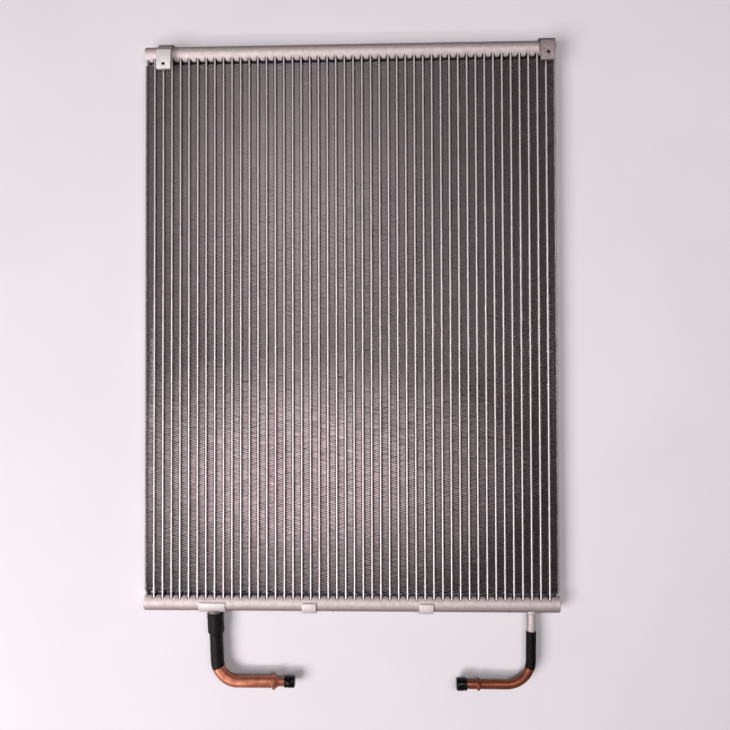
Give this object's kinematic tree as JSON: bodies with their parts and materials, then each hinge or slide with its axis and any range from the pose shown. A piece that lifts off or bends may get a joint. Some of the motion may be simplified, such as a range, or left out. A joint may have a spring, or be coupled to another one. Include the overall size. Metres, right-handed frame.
{
  "type": "microchannel condenser coil",
  "caption": "Flat microchannel condenser coil: flat tubes and folded fins between two round headers, with saddle brackets and a large and a small copper pipe, both bent and capped.",
  "frame": {"origin": "centre of the bounding box, at the level of the saddle backs that the coil lies on", "axes": "+X along the headers, from the inlet end to the outlet end; +Y along the flat tubes, from the pipe side to the bracket side; +Z out of the front face"},
  "size_m": [0.428, 0.6744, 0.027],
  "materials": {
    "header_aluminium": "dull mill finish, mottled by brazing",
    "core_aluminium": "brazed strip, satin",
    "bracket_aluminium": "blasted, matte",
    "copper": "satin copper tube",
    "black_sleeve": "matte heat-shrink sleeve",
    "black_rubber": "glossy soft cap"
  },
  "bodies": {
    "root": {"upper_header": "header_aluminium", "lower_header": "header_aluminium", "upper_left_end_cap": "header_aluminium", "upper_right_end_cap": "header_aluminium", "lower_left_end_cap": "header_aluminium", "lower_right_end_cap": "header_aluminium", "baffle_1": "header_aluminium", "baffle_2": "header_aluminium", "baffle_3": "header_aluminium", "core_pass_1": "core_aluminium", "core_pass_2": "core_aluminium", "core_pass_3": "core_aluminium", "core_pass_4": "core_aluminium", "left_side_plate": "core_aluminium", "right_side_plate": "core_aluminium", "left_bracket": "bracket_aluminium", "right_bracket": "bracket_aluminium", "left_clip": "bracket_aluminium", "right_clip": "bracket_aluminium", "inlet_saddle": "bracket_aluminium", "inlet_stub": "header_aluminium", "inlet_joint_sleeve": "black_sleeve", "inlet_sleeve": "black_sleeve", "inlet_pipe": "copper", "inlet_cap": "black_rubber", "outlet_stub": "header_aluminium", "outlet_sleeve": "black_sleeve", "outlet_pipe": "copper", "outlet_cap": "black_rubber"}
  },
  "joints": []
}
